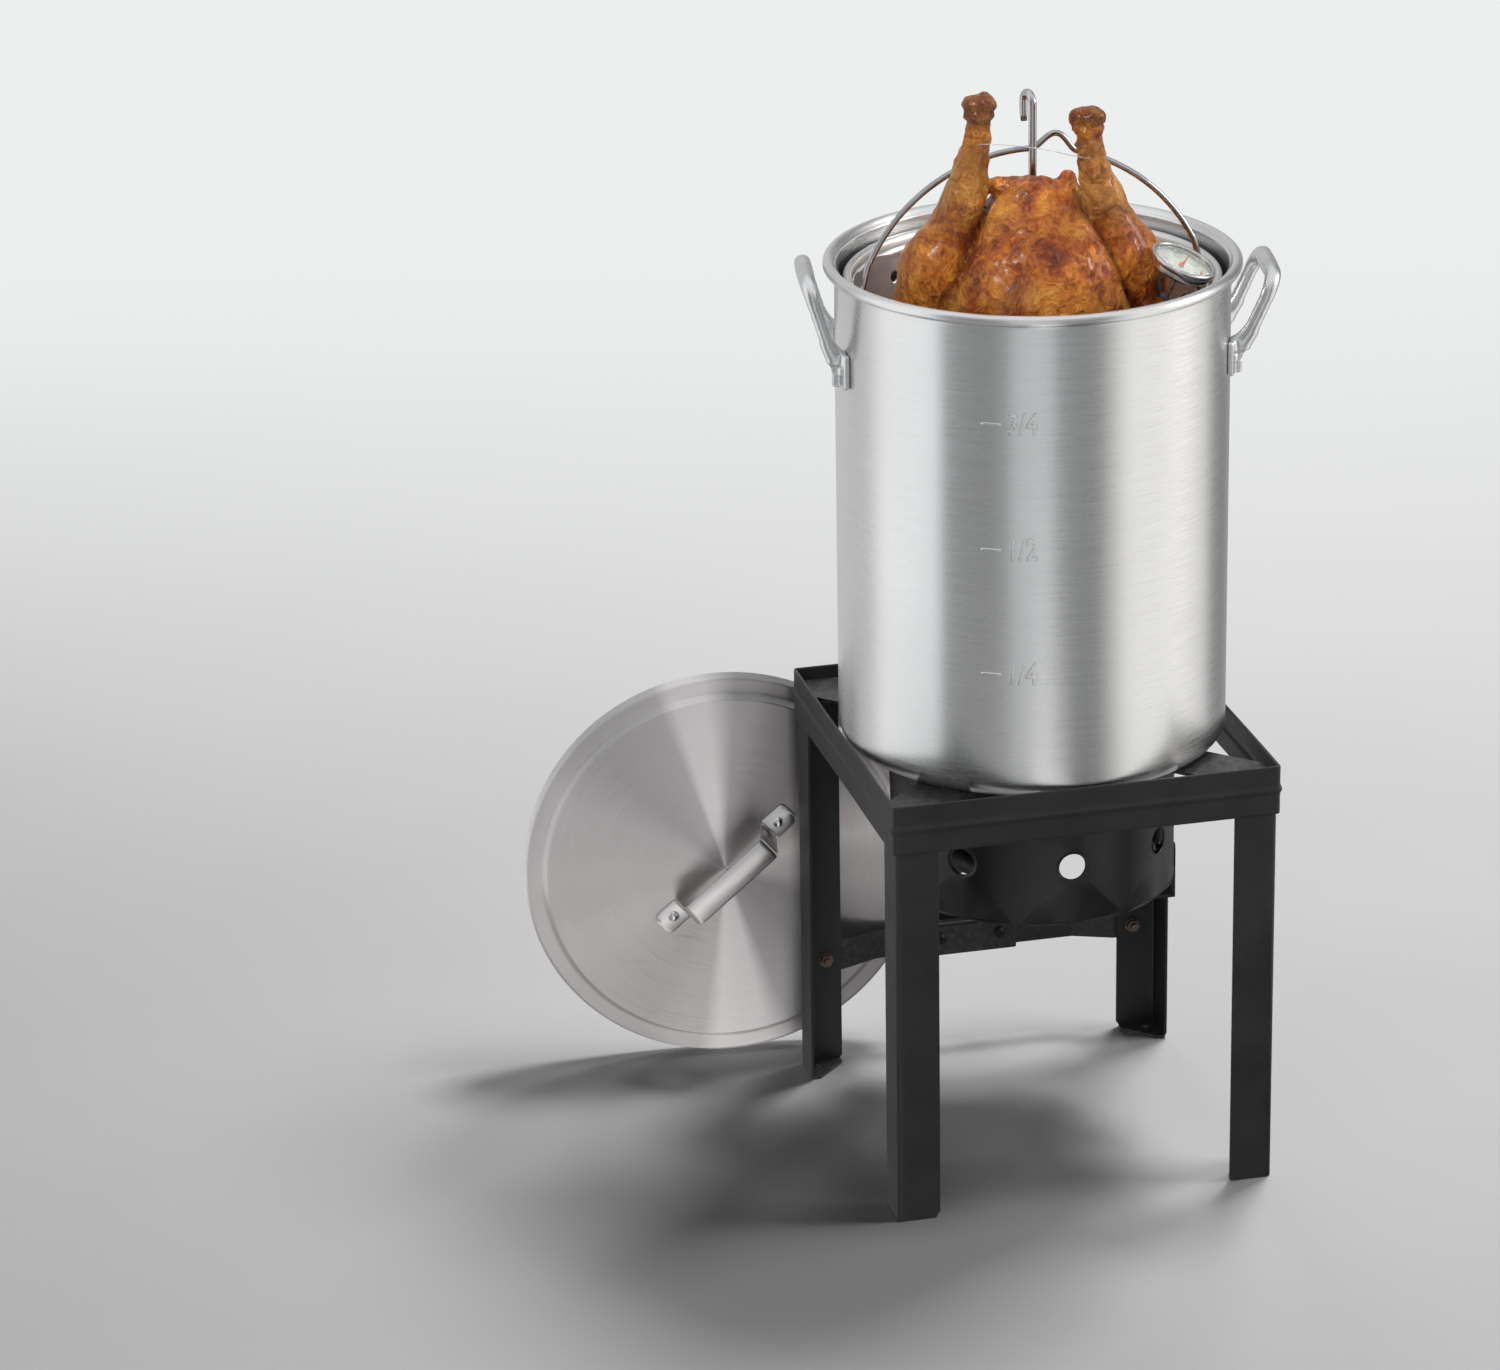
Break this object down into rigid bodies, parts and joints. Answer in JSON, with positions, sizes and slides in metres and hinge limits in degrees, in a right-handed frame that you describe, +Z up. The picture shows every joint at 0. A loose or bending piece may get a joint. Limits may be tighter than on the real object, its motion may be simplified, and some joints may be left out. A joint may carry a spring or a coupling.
{
  "type": "turkey fryer kit",
  "caption": "Outdoor turkey fryer: square burner stand with a tall stock pot, lift-out perforated basket, poultry rack with a bird, stem thermometer and a lid beside it.",
  "frame": {"origin": "on the floor under the centre of the square stand, at the centre of the four foot holes", "axes": "+Z up; +X and +Y along the stand's sides, with the front of the stand facing -Y and the lid behind it on the +Y side"},
  "size_m": [0.5639, 0.4012, 0.884],
  "materials": {
    "black_paint": "semi-matt black enamel on sheet steel",
    "burnt_iron": "rough sand-cast iron",
    "dark_zinc": "dull zinc with light rust",
    "brass": "turned brass",
    "plain_steel": "plated sheet steel",
    "spun_aluminium": "spun and circumferentially brushed aluminium",
    "basket_aluminium": "perforated mill-finish aluminium",
    "cast_aluminium": "tumbled cast aluminium",
    "bright_wire": "bright nickel-chrome wire",
    "roast_skin": "golden brown fried skin, glossy with oil",
    "gauge_steel": "pressed stainless steel",
    "gauge_glass": "clear flat glass",
    "gauge_face": "pale printed dial plate",
    "needle_red": "red enamel",
    "clip_steel": "blued spring steel"
  },
  "bodies": {
    "stand": {"top_band": "black_paint", "leg_front_left": "black_paint", "leg_front_right": "black_paint", "leg_back_left": "black_paint", "leg_back_right": "black_paint", "foot_plates": "black_paint", "pot_support_bars": "black_paint", "windshield_ring": "black_paint", "burner_bracket": "black_paint", "ring_screws": "dark_zinc", "burner_casting": "burnt_iron", "burner_bolt": "dark_zinc", "orifice_fitting": "brass", "back_strap": "black_paint", "strap_plate": "black_paint", "strap_bolts": "dark_zinc", "strap_nuts": "dark_zinc", "plate_screws": "dark_zinc"},
    "shutter": {"air_shutter": "plain_steel"},
    "pot": {"pot_shell": "spun_aluminium", "pot_handle_left": "cast_aluminium", "pot_handle_right": "cast_aluminium", "handle_rivets": "cast_aluminium"},
    "basket": {"basket_shell": "basket_aluminium", "bail_ears": "plain_steel", "ear_rivets": "cast_aluminium"},
    "bail": {"basket_bail": "bright_wire"},
    "rack": {"rack_base": "basket_aluminium", "rack_rod": "bright_wire", "rack_nuts": "plain_steel", "turkey": "roast_skin"},
    "thermometer": {"thermometer_case": "gauge_steel", "thermometer_bezel": "gauge_steel", "thermometer_lens": "gauge_glass", "thermometer_dial": "gauge_face", "thermometer_stem": "gauge_steel", "thermometer_hub": "gauge_steel"},
    "needle": {"thermometer_needle": "needle_red"},
    "clip": {"thermometer_clip": "clip_steel"},
    "lid": {"lid_shell": "spun_aluminium", "lid_handle": "cast_aluminium", "lid_rivets": "cast_aluminium"}
  },
  "joints": [
    {"name": "pot_lift", "type": "slide", "parent": "stand", "child": "pot", "axis": [0, 0, 1], "range_m": [0, 0.15]},
    {"name": "basket_lift", "type": "slide", "parent": "pot", "child": "basket", "axis": [0, 0, 1], "range_m": [0, 0.42]},
    {"name": "bail_fold", "type": "hinge", "parent": "basket", "child": "bail", "pos_m": [0, 0, 0.7217], "axis": [-1, 0, 0], "range_deg": [0, 75]},
    {"name": "rack_lift", "type": "slide", "parent": "basket", "child": "rack", "axis": [0, 0, 1], "range_m": [0, 0.007]},
    {"name": "thermometer_pull", "type": "slide", "parent": "rack", "child": "thermometer", "axis": [0.3239, -0.2128, 0.9219], "range_m": [0, 0.16]},
    {"name": "needle_turn", "type": "hinge", "parent": "thermometer", "child": "needle", "pos_m": [0.0985, -0.079, 0.757], "axis": [0.3239, -0.2128, 0.9219], "range_deg": [-150, 150]},
    {"name": "clip_slide", "type": "slide", "parent": "thermometer", "child": "clip", "axis": [0.3239, -0.2128, 0.9219], "range_m": [-0.01, 0.005]},
    {"name": "shutter_turn", "type": "hinge", "parent": "stand", "child": "shutter", "pos_m": [-0.05654, 0.13569, 0.203], "axis": [-0.3846, 0.9231, 0], "range_deg": [0, 90]},
    {"name": "lid_lift", "type": "slide", "parent": "stand", "child": "lid", "axis": [0, 0, 1], "range_m": [0, 0.4]}
  ]
}
